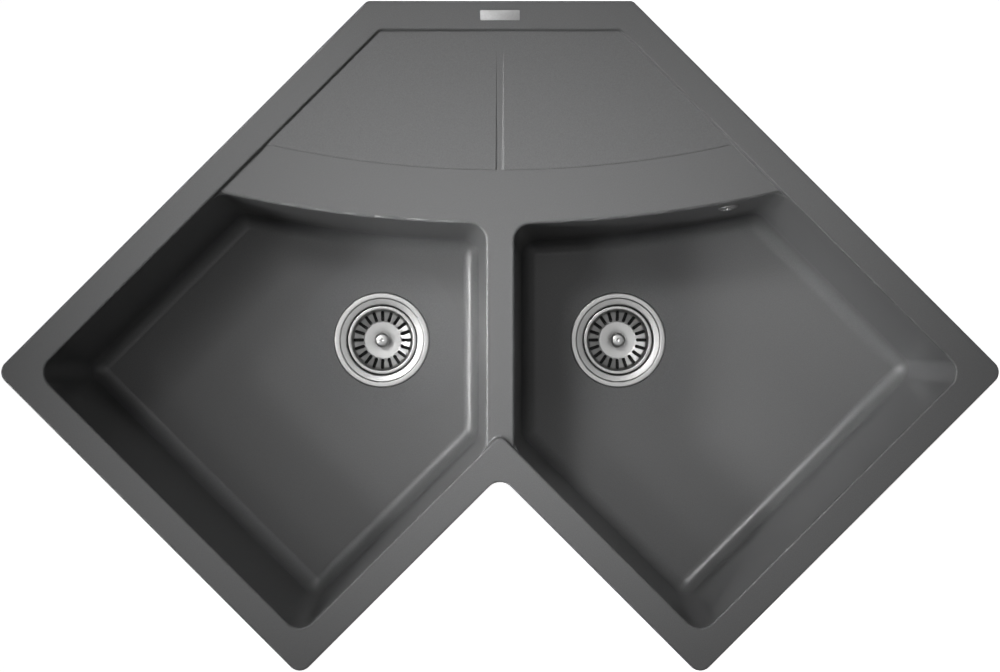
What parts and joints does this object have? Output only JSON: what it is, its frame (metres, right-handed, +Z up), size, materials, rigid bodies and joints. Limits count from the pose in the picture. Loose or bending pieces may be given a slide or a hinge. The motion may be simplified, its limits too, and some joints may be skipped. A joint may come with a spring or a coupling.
{
  "type": "corner kitchen sink",
  "caption": "Corner inset kitchen sink in moulded composite, with a bowl on either side of a divider, a drainer behind, lift-out basket strainers and swinging rim clips.",
  "frame": {"origin": "on the bearing face under the rim's rear edge, on the centre plane, level with the worktop's top", "axes": "+X towards the right bowl, +Y towards the corner of the walls, +Z up"},
  "size_m": [1.0886, 0.7309, 0.3186],
  "materials": {
    "composite": "matte",
    "steel": "polished",
    "steel_hidden": "satin",
    "plate": "satin",
    "seal": "matte",
    "stopper": "satin",
    "waste_plastic": "satin",
    "hose": "satin",
    "fastener": "satin",
    "clip": "satin",
    "brass": "satin"
  },
  "bodies": {
    "sink": {"sink_basin": "composite", "rim_strip": "seal", "badge_plate": "plate", "overflow_rosette": "steel", "overflow_screw": "steel", "overflow_seal": "seal", "overflow_elbow": "waste_plastic", "overflow_hose": "hose", "hose_clamps": "fastener", "clip_screws": "fastener", "clip_inserts": "brass", "strainer_flange_left": "steel", "flange_seal_left": "seal", "body_seal_left": "seal", "waste_body_left": "waste_plastic", "centre_screw_left": "steel_hidden", "strainer_flange_right": "steel", "flange_seal_right": "seal", "body_seal_right": "seal", "waste_body_right": "waste_plastic", "centre_screw_right": "steel_hidden"},
    "basket_left": {"basket_left": "steel", "basket_knob_left": "steel", "basket_stopper_left": "stopper"},
    "basket_right": {"basket_right": "steel", "basket_knob_right": "steel", "basket_stopper_right": "stopper"},
    "clip_1": {"rim_clip_1": "clip"},
    "clip_2": {"rim_clip_2": "clip"},
    "clip_3": {"rim_clip_3": "clip"},
    "clip_4": {"rim_clip_4": "clip"},
    "clip_5": {"rim_clip_5": "clip"},
    "clip_6": {"rim_clip_6": "clip"},
    "clip_7": {"rim_clip_7": "clip"},
    "clip_8": {"rim_clip_8": "clip"}
  },
  "joints": [
    {"name": "basket_left_lift", "type": "slide", "parent": "sink", "child": "basket_left", "axis": [0, 0, 1], "range_m": [0, 0.06]},
    {"name": "basket_right_lift", "type": "slide", "parent": "sink", "child": "basket_right", "axis": [0, 0, 1], "range_m": [0, 0.06]},
    {"name": "clip_1_swing", "type": "hinge", "parent": "sink", "child": "clip_1", "pos_m": [0.21991, -0.09578, -0.031], "axis": [0, 0, -1], "range_deg": [0, 90]},
    {"name": "clip_2_swing", "type": "hinge", "parent": "sink", "child": "clip_2", "pos_m": [0.43204, -0.30791, -0.031], "axis": [0, 0, -1], "range_deg": [0, 90]},
    {"name": "clip_3_swing", "type": "hinge", "parent": "sink", "child": "clip_3", "pos_m": [0.37052, -0.55186, -0.031], "axis": [0, 0, -1], "range_deg": [0, 90]},
    {"name": "clip_4_swing", "type": "hinge", "parent": "sink", "child": "clip_4", "pos_m": [0.12587, -0.61126, -0.031], "axis": [0, 0, -1], "range_deg": [0, 90]},
    {"name": "clip_5_swing", "type": "hinge", "parent": "sink", "child": "clip_5", "pos_m": [-0.21991, -0.09578, -0.031], "axis": [0, 0, -1], "range_deg": [0, 90]},
    {"name": "clip_6_swing", "type": "hinge", "parent": "sink", "child": "clip_6", "pos_m": [-0.43204, -0.30791, -0.031], "axis": [0, 0, -1], "range_deg": [0, 90]},
    {"name": "clip_7_swing", "type": "hinge", "parent": "sink", "child": "clip_7", "pos_m": [-0.37052, -0.55186, -0.031], "axis": [0, 0, -1], "range_deg": [0, 90]},
    {"name": "clip_8_swing", "type": "hinge", "parent": "sink", "child": "clip_8", "pos_m": [-0.12587, -0.61126, -0.031], "axis": [0, 0, -1], "range_deg": [0, 90]}
  ]
}
